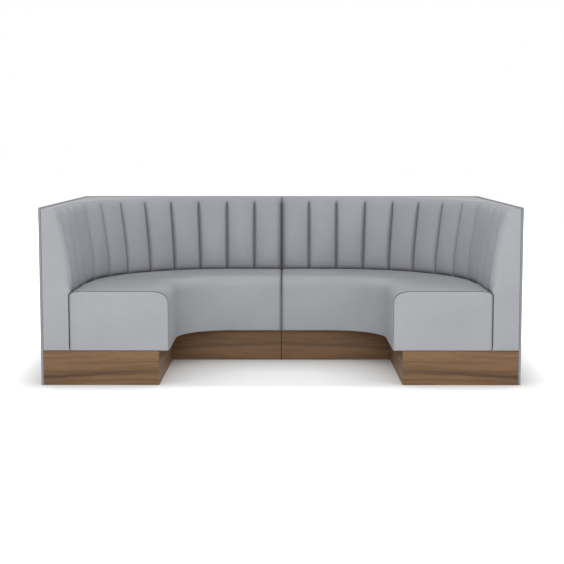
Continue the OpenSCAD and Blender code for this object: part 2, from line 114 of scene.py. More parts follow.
# Places along the back, measured from the centre joint on the line of the corner's arc
CORNER_X = -HALF_W + BACK_T + BACK_R
CORNER_Y = REAR_Y - BACK_T - BACK_R
PATH_R = BACK_R + PAD_BACK
ARC_START = -CORNER_X
ARC_END = ARC_START + PATH_R * math.pi / 2
PATH_END = ARC_END + CORNER_Y - COVER_Y

# Channels of the back
CHANNELS = 11
CHANNEL_W = 0.168
NARROW_CHANNELS = 7
BORDER_W = 0.108
CORNER_SHIFT = {6: 0.007, 7: 0.011, 8: -0.018}
WIDE_W = (PATH_END - BORDER_W - CHANNEL_W * NARROW_CHANNELS) / (CHANNELS - NARROW_CHANNELS)

# Swell of the channels in front of the section line
CREST_RISE = 0.014
CREST_LOW = 0.75
CREST_GAIN = 0.6
ARCH_POWER = 0.75
FULL_Z = TOP_Z - 0.0995
HEAD_POWER = 0.4
SWELL_FOOT_Z = SEAT_Z - 0.0195
FOOT_ROUND = 0.026
FOOT_RISE = 0.100
TUCK_SHARE = 0.6

# Stitched creases between the channels
GROOVE_TOP = TOP_Z - 0.012
GROOVE_FADE = 0.020
CREASE_DEPTH = 0.0205
CREASE_FOOT = 0.015
CREASE_RISE = 0.20
CREASE_W = 0.0125
CREASE_TIP = 0.12
CREASE_BELOW = 0.006
CREASE_LIP = 0.0022
CREASE_END = 0.080
CREASE_BASE = 0.45
ARM_SLACK = 0.35
ARM_SLACK_FROM = 1.10
ARM_SLACK_TO = 1.38
PLACES_ACROSS = np.array([0, 0.0015, 0.0035, 0.006, 0.0085, 0.011, 0.0135, 0.017, 0.022, 0.030, 0.042, 0.060])

# How the back turns in at the centre joint
JOINT_RUN = 0.038
JOINT_IN = 0.016
JOINT_TOP_EASE = 0.75
JOINT_ARCH_POWER = 0.4

# Seat
ROLL_RUN = 0.122
ROLL_DROP = 0.072
ROLL_POWER = 3.0
CORNER_DIP = 0.009
CORNER_DIP_POWER = 0.45
REAR_RUN = 0.095
REAR_DROP = 0.028
REAR_POWER = 2.6
REAR_SHARE = 0.985
FALL_SHARE = 0.08
ARM_SEAT_D = HALF_W - BACK_T + LEG_X
SKIRT_T = 0.014
SKIRT_BELLY = 0.0015
SEAT_FOOT_R = 0.003
SEAT_DIP = 0.009
END_DIP = 0.001
END_DIP_RUN = 0.30
SEAT_TUCK = 0.0009
SEAT_TUCK_DROP = 0.004
SEAT_POINTS = 78
SEAT_FOOT_FINE = (0.008, 2.5)
SEAT_JOINT_R = 0.020
SEAM_R = 0.0070
SEAM_STEPS = (0.7, 0.4, 0.2, 0.07, 0)
FOAM_INSET = 0.050
FOAM_EDGE = 0.006
FRAME_IN = 0.016

# Covered ends and cap
EDGE_RUN = 0.030
EDGE_Y = 0.042
EDGE_IN = 0.080
EDGE_STEPS = np.array([0.75, 0.5, 0.3, 0.15, 0])
EDGE_AT_SEAT = (-0.03, 0.05)
EDGE_AT_TOP = (-0.05, -0.004)
EDGE_SMALL = 0.0035
BACK_EDGE = 0.0022
END_GAP = 0.0012
SEAT_END_IN = 0.0040
SEAT_END_RUN = 0.050
SEAT_END_BACK = 0.012
CAP_EDGE = 0.0015
CAP_CROWN = 0.0008
COVER_LIP = 0.0015
RIB_BACK = 0.016
ARM_TOP_IN = 0.003
ARM_SECTION_POINTS = 90
ARM_END_POINTS = (110, 16)
SEAT_END_POINTS = (40, 60)
SEAT_END_UPRIGHT = (20, 13)
CLOTH_PRESSURE = 4.0
CLOTH_FRAMES = 20
CLOTH_CAP = 0.003

# Painted shade of the cloth in its creases, joints and seams, and how far it reaches: darker colour where
# shade falls
CREASE_SHADE = 0.5
CREASE_SHADE_FADE = 0.03
JOINT_SHADE_REACH = 0.009
JOINT_SHADE_EASE = 0.4
FOOT_SHADE = 0.5
FOOT_SHADE_BELOW = 0.014
FOOT_SHADE_REACH = 0.012
LOW_SHADE = 0.11
LOW_SHADE_REACH = 0.06
SEAM_SHADE = 0.8
SEAM_SHADE_LOW = 0.45
SEAM_SHADE_BELOW = 0.05
SEAM_SHADE_FULL = 0.01
SEAM_SHADE_TURN = 0.002
SEAT_JOINT_SHADE = 0.36
SEAT_JOINT_SHADE_POWER = 1.3
END_SHADE_REACH = 0.007
# Colour multipliers of the painted shade, from none to full
SHADE_LEVELS = [(0.0, 1.0), (0.5, 0.52), (1.0, 0.24)]


# Meshes

def smoothstep(x, low, high):
    """Eases from zero at low to one at high; low may be the larger."""
    x = np.clip((x - low) / (high - low), 0, 1)
    return x * x * (3 - 2 * x)


def line_normals(line):
    """Unit normals of an open flat line, to the left of its direction."""
    step = np.gradient(line, axis=0)
    normal = np.stack([-step[:, 1], step[:, 0]], axis=1)
    return normal / np.maximum(np.linalg.norm(normal, axis=1, keepdims=True), 1e-9)


def closed_normals(outline):
    """Outward unit normals of a closed flat outline."""
    step = np.roll(outline, -1, axis=0) - np.roll(outline, 1, axis=0)
    after = np.roll(outline, -1, axis=0)
    area = np.sum(outline[:, 0] * after[:, 1] - outline[:, 1] * after[:, 0])
    normal = np.stack([step[:, 1], -step[:, 0]], axis=1) * np.sign(area)
    return normal / np.maximum(np.linalg.norm(normal, axis=1, keepdims=True), 1e-9)


def resample(line, count, weight=None):
    """Spreads count points along a flat line, closer together where weight is high."""
    length = np.linalg.norm(np.diff(line, axis=0), axis=1)
    if weight is not None:
        length = length * (weight[1:] + weight[:-1]) / 2
    along = np.concatenate([[0], np.cumsum(length)])
    places = np.linspace(0, along[-1], count)
    return np.stack([np.interp(places, along, line[:, i]) for i in range(line.shape[1])], axis=1)


def make_object(name, points, faces, material, flat_from, sharp):
    """A mesh object with smooth faces; faces from index flat_from on stay flat."""
    mesh = bpy.data.meshes.new(name)
    mesh.from_pydata([tuple(p) for p in points], [], faces)
    bm = bmesh.new()
    bm.from_mesh(mesh)
    bmesh.ops.recalc_face_normals(bm, faces=bm.faces)
    bm.to_mesh(mesh)
    bm.free()
    smooth = np.ones(len(faces), bool)
    if flat_from is not None:
        smooth[flat_from:] = False
    mesh.polygons.foreach_set("use_smooth", smooth)
    mesh.set_sharp_from_angle(angle=math.radians(sharp))
    mesh.materials.append(material)
    obj = bpy.data.objects.new(name, mesh)
    scene.collection.objects.link(obj)
    return obj


def loft_faces(rings, count):
    """Quads between rings of count points, then one face over each end."""
    a = np.arange(rings - 1)[:, None] * count + np.arange(count)
    b = np.arange(rings - 1)[:, None] * count + (np.arange(count) + 1) % count
    quads = np.stack([a, b, b + count, a + count], axis=-1).reshape(-1, 4).tolist()
    first = list(range(count))[::-1]
    last = list(range((rings - 1) * count, rings * count))
    return quads, [first, last]


def both_halves(name, node, points, faces, material, sharp, flat_from=None):
    """The piece of the left half, and its mirror image on the right."""
    pair = []
    for side, sign in (("left", 1), ("right", -1)):
        placed = points * np.array([sign, 1, 1])
        obj = make_object(f"{side}_{name}", placed, faces, material, flat_from, sharp)
        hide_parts(f"{side}_{node}")
        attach(obj, "root")
        pair.append(obj)
    return pair


def lofted(name, node, rings, material, sharp=60, flat_ends=False):
    """The piece of each half that is drawn through closed rings of points."""
    rings = np.array(rings)
    quads, caps = loft_faces(*rings.shape[:2])
    return both_halves(name, node, rings.reshape(-1, 3), quads + caps, material, sharp,
                       len(quads) if flat_ends else None)


# Back

def back_at(z):
    """Thickness of the back at height z, from the outer face."""
    lean_share = np.clip((z - RAKE_Z) / (SHOULDER_Z - RAKE_Z), 0, 1)
    lean = BACK_T - (BACK_T - SHOULDER_T) * lean_share ** LEAN_POWER
    rise = np.clip((z - SHOULDER_Z) / (TOP_Z - SHOULDER_Z), 0, 1)
    bevel = TOP_T + (SHOULDER_T - TOP_T) * (1 - rise ** BEVEL_POWER) ** (1 / BEVEL_POWER)
    return np.where(z <= RAKE_Z, BACK_T, np.where(z <= SHOULDER_Z, lean, bevel))


def smooth_line(line, reach):
    """Rounds the kinks of a flat line over a few points, keeping its two ends."""
    kernel = np.exp(-np.linspace(-2, 2, 2 * reach + 1) ** 2)
    kernel /= kernel.sum()
    before = 2 * line[:1] - line[reach:0:-1]
    after = 2 * line[-1:] - line[-2:-reach - 2:-1]
    padded = np.concatenate([before, line, after])
    return np.stack([np.convolve(padded[:, i], kernel, "valid") for i in range(2)], axis=1)


def back_section(count):
    """Outside line of the back's section as [thickness, height], from the foot to the cap.

    Its points lie closer together near the heights in FINE_PLACES.
    """
    z = np.concatenate([np.linspace(FOOT_Z, SHOULDER_Z, 200)[:-1],
                        TOP_Z - (TOP_Z - SHOULDER_Z) * (1 - np.linspace(0, 1, 80)) ** 1.6])
    line = np.stack([back_at(z), z], axis=1)
    line = resample(line, 400)
    line = smooth_line(line, 9)
    weight = np.ones(len(line))
    for height, reach, gain in FINE_PLACES:
        weight += gain * np.exp(-((line[:, 1] - height) / reach) ** 2)
    return resample(line, count, weight)


def forward_normals(section):
    """Unit normals of a section of the back, toward the sitting space."""
    normal = -line_normals(section)
    return normal * np.sign(normal[10, 0])


def round_point(s, t, z):
    """Points at place s along the back, t in from the outer faces, at height z."""
    s, t, z = np.broadcast_arrays(s, t, z)
    radius = BACK_R + BACK_T - t
    angle = (s - ARC_START) / PATH_R
    x = np.where(s <= ARC_START, -s, np.where(s <= ARC_END, CORNER_X - radius * np.sin(angle), -HALF_W + t))
    y = np.where(s <= ARC_START, REAR_Y - t,
                 np.where(s <= ARC_END, CORNER_Y + radius * np.cos(angle), CORNER_Y - s + ARC_END))
    return np.stack([x, y, z], axis=-1)


def groove_at(k):
    """Place of a groove along the back; those in the corner sit where hand sewing put them."""
    narrow = min(k, NARROW_CHANNELS)
    return narrow * CHANNEL_W + (k - narrow) * WIDE_W + CORNER_SHIFT.get(k, 0)


def crest_fill(z):
    """Share of the full swell of a channel at height z."""
    head = np.sin(np.pi / 2 * np.clip((GROOVE_TOP - z) / (GROOVE_TOP - FULL_Z), 0, 1)) ** HEAD_POWER
    above = z - SWELL_FOOT_Z
    tuck = np.sqrt(1 - (1 - np.clip(above / FOOT_ROUND, 0, 1)) ** 2)
    rise = np.sin(np.pi / 2 * np.clip(above / FOOT_RISE, 0, 1))
    return head * (TUCK_SHARE * tuck + (1 - TUCK_SHARE) * rise)


def crest_at(z):
    """Height of the crests in front of the section line, growing toward the seat."""
    below_shoulder = np.maximum(SHOULDER_Z - z, 0) / (SHOULDER_Z - RAKE_Z)
    return CREST_RISE * crest_fill(z) * (CREST_LOW + CREST_GAIN * below_shoulder)


def crease_at(z):
    """Depth of the creases behind the section line."""
    low = smoothstep(z, SEAT_Z, SEAT_Z + CREASE_RISE)
    depth = CREASE_FOOT + (CREASE_DEPTH - CREASE_FOOT) * low
    return depth * smoothstep(z, GROOVE_TOP, GROOVE_TOP - GROOVE_FADE)


def stitched(s):
    """How tightly a crease is drawn in: fully along the rear, less on the arms."""
    return 1 - ARM_SLACK * smoothstep(s, ARM_SLACK_FROM, ARM_SLACK_TO)


def crease_width(z):
    """Half width of a crease: it narrows to a point at both ends."""
    top = np.clip((GROOVE_TOP - z) / CREASE_END, 0, 1)
    foot = np.clip((z - SWELL_FOOT_Z + CREASE_BELOW) / CREASE_END, 0, 1)
    return CREASE_W * (CREASE_TIP + (1 - CREASE_TIP) * np.sqrt(top * foot))


def across(s):
    """Share across its channel of place s, its distance to a groove, and whether it is at the joint.

    The border beside the arm end counts as the first half of a channel of twice its width.
    """
    edges = np.array([groove_at(k) for k in range(CHANNELS + 1)])
    k = np.clip(np.searchsorted(edges, s, side="right") - 1, 0, CHANNELS)
    width = np.append(np.diff(edges), 2 * BORDER_W)[k]
    u = np.clip((s - edges[k]) / width, 0, 1)
    return u, np.minimum(u, 1 - u) * width, (k == 0) & (u < 0.5)


def vee(away, width, lip):
    """A crease with straight walls that is width wide on each side, with a soft lip."""
    return lip * np.log1p(np.exp((width - away) / lip)) / (lip * np.log1p(np.exp(width / lip)))


def crease_share(s, z):
    """How far place s lies into a crease, from zero to one."""
    _, away, at_joint = across(s)
    return np.where(at_joint, 0, vee(away, crease_width(z), CREASE_LIP))


def swell(s, z):
    """Height of the cover in front of its section line."""
    u, _, at_joint = across(s)
    arch = np.sin(np.pi * u) ** ARCH_POWER
    crease = crease_share(s, z)
    deep = crease_at(z) * stitched(s)
    channel = (crest_at(z) * arch - CREASE_BASE * deep * (1 - arch)) * (1 - crease) - deep * crease
    turn = np.clip(1 - (s - BACK_GAP) / JOINT_RUN, 0, 1) ** 2
    top = 1 - JOINT_TOP_EASE * smoothstep(z, SHOULDER_Z, TOP_Z - 0.002)
    beside_joint = crest_at(z) * arch ** JOINT_ARCH_POWER * (1 - turn) - JOINT_IN * top * turn
    return np.where(at_joint, beside_joint, channel)


def shade_at(s, z):
    """Painted shade of the cover, to one half in the stitched creases and to one in the centre joint, and
    darker at the foot behind the seat.
    """
    below_top = smoothstep(z, GROOVE_TOP, GROOVE_TOP - CREASE_SHADE_FADE)
    crease = CREASE_SHADE * stitched(s) * crease_share(s, z) * below_top
    joint = np.exp(-(s - BACK_GAP) / JOINT_SHADE_REACH)
    joint = joint * (1 - JOINT_SHADE_EASE * smoothstep(z, SHOULDER_Z, TOP_Z))
    foot = FOOT_SHADE * np.exp(-np.maximum(z - SEAT_Z + FOOT_SHADE_BELOW, 0) / FOOT_SHADE_REACH)
    foot += LOW_SHADE * np.exp(-np.maximum(z - SEAT_Z, 0) / LOW_SHADE_REACH)
    # Painted shade in the creases and the joint, and more painted shade toward the foot
    crease_or_joint_shade = np.maximum(crease, joint)
    return crease_or_joint_shade + (1 - crease_or_joint_shade) * foot


def add_shade(pair, values):
    """Stores the painted shade of each point of the pieces."""
    for obj in pair:
        shade = obj.data.attributes.new("shade", "FLOAT", "POINT")
        shade.data.foreach_set("value", np.asarray(values, np.float32).ravel())


def end_inset(s):
    """How far the cover's face turns in near the arm front."""
    x = np.clip((s - (PATH_END - EDGE_RUN)) / EDGE_Y, 0, 1)
    return 1 - np.sqrt(1 - x ** 2)


def edge_width(z):
    """Width of the rounded inner edge of the arm end at height z."""
    above_seat = smoothstep(z, SEAT_Z + EDGE_AT_SEAT[0], SEAT_Z + EDGE_AT_SEAT[1])
    below_top = 1 - smoothstep(z, SHOULDER_Z + EDGE_AT_TOP[0], TOP_Z + EDGE_AT_TOP[1])
    return EDGE_IN * above_seat * below_top


def cover_places():
    """Places along the back at which the cover's section is drawn."""
    places = []
    for k in range(CHANNELS):
        start, end = groove_at(k), groove_at(k + 1)
        half = np.append(PLACES_ACROSS, (end - start) / 2)
        places.extend(np.concatenate([start + half, end - half[-2:0:-1]]).tolist())
    start = groove_at(CHANNELS)
    places.extend((start + PLACES_ACROSS).tolist())
    places.extend((PATH_END - EDGE_RUN * EDGE_STEPS).tolist())
    return np.maximum(np.array(places), BACK_GAP)


def make_back_cover(material):
    """The channelled cover, from its foot behind the seat to the cap."""
    section = back_section(BACK_POINTS)
    normal = forward_normals(section)
    s = cover_places()[:, None]
    z = section[None, :, 1]
    inset = end_inset(s) * edge_width(z)
    high = swell(s, z)
    outside = round_point(s, section[None, :, 0] + high * normal[None, :, 0] - inset,
                          z + high * normal[None, :, 1])
    lip = np.array([[CAP_IN_T + FIT, TOP_Z - COVER_LIP], [CAP_IN_T + FIT, PLATE_Z + FIT],
                    [back_at(np.array(PLATE_Z)) - PAD_COVER, PLATE_Z + FIT]])
    down = np.linspace(PLATE_Z - 0.01, FOOT_Z, 14)
    inner = np.concatenate([lip, np.stack([back_at(down) - PAD_COVER + FIT, down], axis=1)])
    inside = round_point(s, inner[None, :, 0], inner[None, :, 1])
    rings = np.concatenate([outside, inside], axis=1)
    pair = lofted("channelled_cover", "back_cover", rings, material, flat_ends=True)
    # Painted shade on the face of the cover; the hidden inside is painted fully dark
    shade = np.ones(rings.shape[:2])
    shade[:, :len(section)] = shade_at(s, z)
    add_shade(pair, shade)


def make_back_pad(material):
    """The foam pad between the channelled cover and the skin of the back."""
    z = np.concatenate([np.linspace(FOOT_Z, SHOULDER_Z, 16),
                        np.linspace(SHOULDER_Z, PLATE_Z - 0.001, 5)[1:]])
    t = back_at(z)
    front = np.stack([t - PAD_COVER, z], axis=1)
    rear = np.stack([t - PAD_BACK + FIT, z], axis=1)[::-1]
    line = np.concatenate([front, rear])
    s = np.linspace(PAD_START, PATH_END - RIB_BACK, 120)[:, None]
    rings = round_point(s, line[None, :, 0], line[None, :, 1])
    lofted("back_padding", "back_pad", rings, material, sharp=50)


def cap_edge(s):
    """Point of the outer edge of the cap that faces place s on its inner edge."""
    x, y, _ = round_point(s, CAP_IN_T, TOP_Z)
    outer_x, outer_y = -HALF_W + PANEL_T + FIT, REAR_Y - PANEL_T - FIT
    if s <= ARC_START:
        return x, outer_y
    if s >= ARC_END:
        return outer_x, y
    dx, dy = x - CORNER_X, y - CORNER_Y
    reach = min((outer_x - CORNER_X) / min(dx, -1e-6), (outer_y - CORNER_Y) / max(dy, 1e-6))
    return CORNER_X + dx * reach, CORNER_Y + dy * reach


def make_cap(material):
    """The covered cap along the top, crowned a little, with the flat spandrel in the corner."""
    corner = math.atan2(CORNER_X + HALF_W - PANEL_T, REAR_Y - PANEL_T - CORNER_Y)
    angles = np.unique(np.concatenate([np.linspace(0, np.pi / 2, 60), [corner]]))
    places = np.concatenate([np.linspace(JOINT_GAP, ARC_START, 6)[:-1], ARC_START + angles * PATH_R,
                             np.linspace(ARC_END, PATH_END, 12)[1:]])
    a = np.linspace(0, np.pi / 2, 5)
    edge = np.stack([CAP_EDGE * (1 - np.cos(a)), TOP_Z - CAP_EDGE * (1 - np.sin(a))], axis=1)
    rings = []
    for s in places:
        inner = np.array(round_point(s, CAP_IN_T, TOP_Z)[:2])
        outer = np.array(cap_edge(s))
        width = np.linalg.norm(outer - inner)
        across_top = np.linspace(CAP_EDGE, width - CAP_EDGE, 8)[1:-1]
        crown = CAP_CROWN * (1 - (2 * across_top / width - 1) ** 4)
        line = np.concatenate([[[0, CAP_Z]], edge, np.stack([across_top, TOP_Z + crown], axis=1),
                               np.stack([width - edge[::-1, 0], edge[::-1, 1]], axis=1), [[width, CAP_Z]]])
        flat = inner + (outer - inner) * (line[:, :1] / width)
        rings.append(np.column_stack([flat, line[:, 1]]))
    lofted("cap_upholstery", "top_cap", rings, material)


# Seat

def make_seat_foam(material):
    """The foam slab under the seat cover, with eased edges."""
    rings = []
    a = np.linspace(0, np.pi / 2, 5)
    for row in seat_stations():
        if row[1] < COVER_Y + FRAME_IN and row[3] == 0:
            continue
        near, far = FOAM_INSET + FIT, seat_depth(row) - SKIRT_T - FIT
        corner = np.stack([FOAM_EDGE * (1 - np.cos(a)),
                           FOAM_HI_Z - FIT - FOAM_EDGE * (1 - np.sin(a))], axis=1)
        middle = np.linspace(near + FOAM_EDGE, far - FOAM_EDGE, 8)[1:-1]
        line = np.concatenate([
            [[near, FOAM_LO_Z]], corner + [near, 0],
            np.stack([middle, np.full(6, FOAM_HI_Z - FIT)], axis=1),
            np.stack([far - corner[::-1, 0], corner[::-1, 1]], axis=1), [[far, FOAM_LO_Z]]])
        rings.append(station_ring(row, line))
    lofted("seat_padding", "seat_foam", rings, material, sharp=50)


def seat_stations():
    """Points on the leg space outline and their directions to the back."""
    start = LEG_X + LEG_R
    near = JOINT_GAP + SEAT_JOINT_R * (1 - np.cos(np.linspace(0, np.pi / 2, 6)))
    xs = -np.concatenate([near, np.linspace(JOINT_GAP + SEAT_JOINT_R, -start, 12)[1:-1]])
    rows = [[x, LEG_Y, 0, 1] for x in xs]
    for a in np.linspace(np.pi / 2, 0, 40):
        rows.append([LEG_X + LEG_R * (1 - np.cos(a)), LEG_Y - LEG_R * (1 - np.sin(a)), -np.cos(a), np.sin(a)])
    for y in np.linspace(LEG_Y - LEG_R, COVER_Y + SEAM_R, 16)[1:]:
        rows.append([LEG_X, y, -1, 0])
    for share in SEAM_STEPS:
        rows.append([LEG_X, COVER_Y + SEAM_R * share, -1, 0])
    return np.array(rows)


def station_ring(row, line):
    """Places a section line of [distance back, height] at a station."""
    return np.stack([row[0] + line[:, 0] * row[2], row[1] + line[:, 0] * row[3], line[:, 1]], axis=1)


def seat_depth(row):
    """Distance from a station along its direction to the face of the back."""
    x, y, dx, dy = row
    if dx == 0 and x > CORNER_X:
        return CORNER_Y + BACK_R - y
    ox, oy = x - CORNER_X, y - CORNER_Y
    b = ox * dx + oy * dy
    arc = -b + math.sqrt(max(0, b * b - ox * ox - oy * oy + BACK_R ** 2))
    if y + arc * dy < CORNER_Y:
        return (CORNER_X - BACK_R - x) / dx
    if x + arc * dx > CORNER_X:
        return (CORNER_Y + BACK_R - y) / dy
    return arc


def roll_line(share, top):
    """The rolled front edge from its foot to its top, as [distance back, height]."""
    a = share * np.pi / 2
    return np.stack([ROLL_RUN * (1 - np.cos(a) ** (2 / ROLL_POWER)),
                     top - ROLL_DROP * (1 - np.sin(a) ** (2 / ROLL_POWER))], axis=1)


def corner_dip(dx, dy):
    """How much lower the rear of the seat lies where the arm turns into the corner."""
    turn = math.atan2(dy, -dx) / (math.pi / 2)
    return CORNER_DIP * math.sin(math.pi * turn ** CORNER_DIP_POWER) ** 2


def rear_rounding(share, end, top, drop):
    """Rounding of the seat before the back, from its start to its end."""
    x = 1 - (1 - share) ** 2
    height = (1 - x ** REAR_POWER) ** (1 / REAR_POWER)
    return np.stack([end - REAR_RUN * (1 - x), top - drop * (1 - height)], axis=1)


def seat_section(depth, dip, dish):
    """Outside line of the seat's section as [distance back, height]."""
    fall = FALL_SHARE * (depth - ARM_SEAT_D)
    a = np.linspace(0, np.pi / 2, 8)
    foot = np.stack([SEAT_FOOT_R * (1 - np.sin(a)), COVER_Z + SEAT_FOOT_R * (1 - np.cos(a))], axis=1)
    roll = roll_line(np.linspace(0, 1, 60), SEAT_Z)
    middle = np.array([[(depth + ROLL_RUN - REAR_RUN) / 2, SEAT_Z - (fall + dip) / 2]])
    rear = rear_rounding(np.linspace(0, REAR_SHARE, 40), depth, SEAT_Z - fall - dip, REAR_DROP - fall / 2)
    line = np.concatenate([foot, roll, middle, rear])
    line = resample(line, 300)
    share = np.clip((line[:, 1] - COVER_Z) / (SEAT_Z - ROLL_DROP - COVER_Z), 0, 1)
    line[:, 0] -= SKIRT_BELLY * np.sin(np.pi * share)
    line[:, 1] -= dish * np.sin(np.pi * np.clip(line[:, 0] / depth, 0, 1)) ** 2
    line = np.concatenate([line, [[depth - SEAT_TUCK, line[-1, 1] - SEAT_TUCK_DROP]]])
    fine_height, gain = SEAT_FOOT_FINE
    return resample(line, SEAT_POINTS, 1 + gain * (line[:, 1] < COVER_Z + fine_height))


def seat_inside(depth):
    """Hidden inner line of the seat's section, from the rear to the front."""
    rear = depth - SKIRT_T
    return np.array([
        [depth - SEAT_TUCK, FOAM_LO_Z + FIT], [rear + FIT, FOAM_LO_Z + FIT], [rear + FIT, FOAM_HI_Z + FIT],
        [FOAM_INSET - FIT, FOAM_HI_Z + FIT], [FOAM_INSET - FIT, FOAM_LO_Z + FIT],
        [SKIRT_T - FIT, FOAM_LO_Z + FIT], [SKIRT_T - FIT, COVER_Z]
    ])


def seat_seam_shade(z, near_joint, near_front, turn_in):
    """Painted shade of the seat cover at heights z, along the front seam and beside the joint."""
    if near_front > 0:
        high = smoothstep(z, SEAT_Z - SEAM_SHADE_BELOW, SEAT_Z - SEAM_SHADE_FULL)
        level = SEAM_SHADE * min(1, turn_in / SEAM_SHADE_TURN)
        return level * (SEAM_SHADE_LOW + (1 - SEAM_SHADE_LOW) * high)
    return np.full(len(z), SEAT_JOINT_SHADE * near_joint ** SEAT_JOINT_SHADE_POWER)


def make_seat_cover(material):
    """The seat's cover: skirt, rolled front edge, top and the rounding before the back."""
    rings = []
    shades = []
    for row in seat_stations():
        depth = seat_depth(row)
        inward = smoothstep(row[1], COVER_Y, COVER_Y + END_DIP_RUN)
        dish = END_DIP + (SEAT_DIP - END_DIP) * inward
        line = seat_section(depth, corner_dip(row[2], row[3]), dish)
        normal = line_normals(line)
        near_joint = np.clip(1 - (-row[0] - JOINT_GAP) / SEAT_JOINT_R, 0, 1)
        near_front = np.clip(1 - (row[1] - COVER_Y) / SEAM_R, 0, 1)
        turn_in = SEAT_JOINT_R * (1 - math.sqrt(1 - near_joint ** 2))
        turn_in += SEAM_R * (1 - math.sqrt(1 - near_front ** 2))
        line = line - normal * turn_in
        inside = seat_inside(depth)
        # Painted shade along the front seam and beside the centre joint; the hidden inside is painted fully
        # dark
        seam = seat_seam_shade(line[:, 1], near_joint, near_front, turn_in)
        shades.append(np.concatenate([seam, np.ones(len(inside))]))
        rings.append(station_ring(row, np.concatenate([line, inside])))
    pair = lofted("seat_upholstery", "seat_cover", rings, material, flat_ends=True)
    add_shade(pair, shades)


# Covered ends

def arm_sides():
    """Right, top, left and bottom side of the arm end in X and Z, and the width of its soft edge."""
    tall, wide = ARM_END_POINTS
    section = back_section(ARM_SECTION_POINTS)
    face = section + forward_normals(section) * crest_at(section[:, 1:])
    face = face[face[:, 1] > SWELL_FOOT_Z - 0.002]
    low = np.stack([np.full(24, BACK_T - END_GAP), np.linspace(COVER_Z, SWELL_FOOT_Z - 0.006, 24)], axis=1)
    inner = resample(np.concatenate([low, face, [[TOP_T - ARM_TOP_IN, TOP_Z]]]), tall)
    outer = resample(np.array([[PANEL_T + FIT, TOP_Z], [PANEL_T + FIT, COVER_Z]]), tall)
    top = np.linspace(inner[-1], outer[0], wide)
    foot = np.linspace(outer[-1], inner[0], wide)
    sides = [inner, top, outer, foot]
    for line in sides:
        line[:, 0] -= HALF_W
    width = np.zeros(2 * (tall + wide) - 4)
    width[:tall] = edge_width(inner[:, 1])
    return sides, width


def seat_end_sides():
    """Right, top, left and bottom side of the seat end in X and Z.

    The first and last points of its rounded top belong to the upright sides.
    """
    tall, wide = SEAT_END_POINTS
    inner = LEG_X - SEAT_END_IN
    outer = -HALF_W + BACK_T + END_GAP
    top_z = SEAT_Z - SEAT_END_IN
    roll = roll_line(np.linspace(0, 1, 40), top_z)
    roll[:, 0] = inner - roll[:, 0]
    rear = rear_rounding(np.linspace(0, 1, 40), inner - outer, top_z, REAR_DROP)
    rear[:, 0] = inner - rear[:, 0]
    flat = np.linspace(roll[-1], rear[0], 30)[1:-1]
    flat[:, 1] -= END_DIP * np.sin(np.pi * (inner - flat[:, 0]) / ARM_SEAT_D) ** 2
    over = np.concatenate([roll, flat, rear])
    first, last = SEAT_END_UPRIGHT
    right = np.concatenate([[[inner, COVER_Z]], over[:first]])
    top = over[first - 1:1 - last]
    left = np.concatenate([over[-last:], [[outer, COVER_Z]]])
    return [resample(right, tall), resample(top, wide), resample(left, tall),
            np.linspace((outer, COVER_Z), (inner, COVER_Z), wide)]


def spread(sides):
    """Grid of points inside a rim of four sides."""
    right, top, left, bottom = sides[0], sides[1], sides[2][::-1], sides[3]
    v = np.linspace(0, 1, len(right))[:, None, None]
    u = np.linspace(0, 1, len(top))[None, :, None]
    low, high = bottom[::-1][None, :], top[None, :]
    near, far = right[:, None], left[:, None]
    corners = (1 - u) * ((1 - v) * right[0] + v * right[-1]) + u * ((1 - v) * left[0] + v * left[-1])
    return (1 - v) * low + v * high + (1 - u) * near + u * far - corners


def puff(pair, loose_count):
    """Swells the last points of a panel by a short cloth run under pressure, and caps the moves.

    It runs on the left piece, and the right one takes its mirror image.
    """
    left = pair[0]
    count = len(left.data.vertices)
    start = np.empty(count * 3)
    left.data.vertices.foreach_get("co", start)
    start = start.reshape(-1, 3)
    pinned = left.vertex_groups.new(name="pinned")
    pinned.add(list(range(count - loose_count)), 1.0, "REPLACE")
    cloth = left.modifiers.new("cloth", "CLOTH")
    cloth.settings.vertex_group_mass = "pinned"
    cloth.settings.use_pressure = True
    cloth.settings.uniform_pressure_force = CLOTH_PRESSURE
    cloth.settings.effector_weights.gravity = 0.0
    for number in range(1, CLOTH_FRAMES + 1):
        scene.frame_set(number)
    shaped = left.evaluated_get(bpy.context.evaluated_depsgraph_get())
    end = np.empty(count * 3)
    shaped.data.vertices.foreach_get("co", end)
    moved = end.reshape(-1, 3) - start
    left.modifiers.remove(cloth)
    left.vertex_groups.remove(pinned)
    scene.frame_set(1)
    reach = np.linalg.norm(moved, axis=1, keepdims=True)
    moved *= CLOTH_CAP / np.maximum(reach.max(), CLOTH_CAP)
    for obj, sign in zip(pair, (1, -1)):
        points = (start + moved) * np.array([sign, 1, 1])
        obj.data.vertices.foreach_set("co", points.ravel())
        obj.data.update()


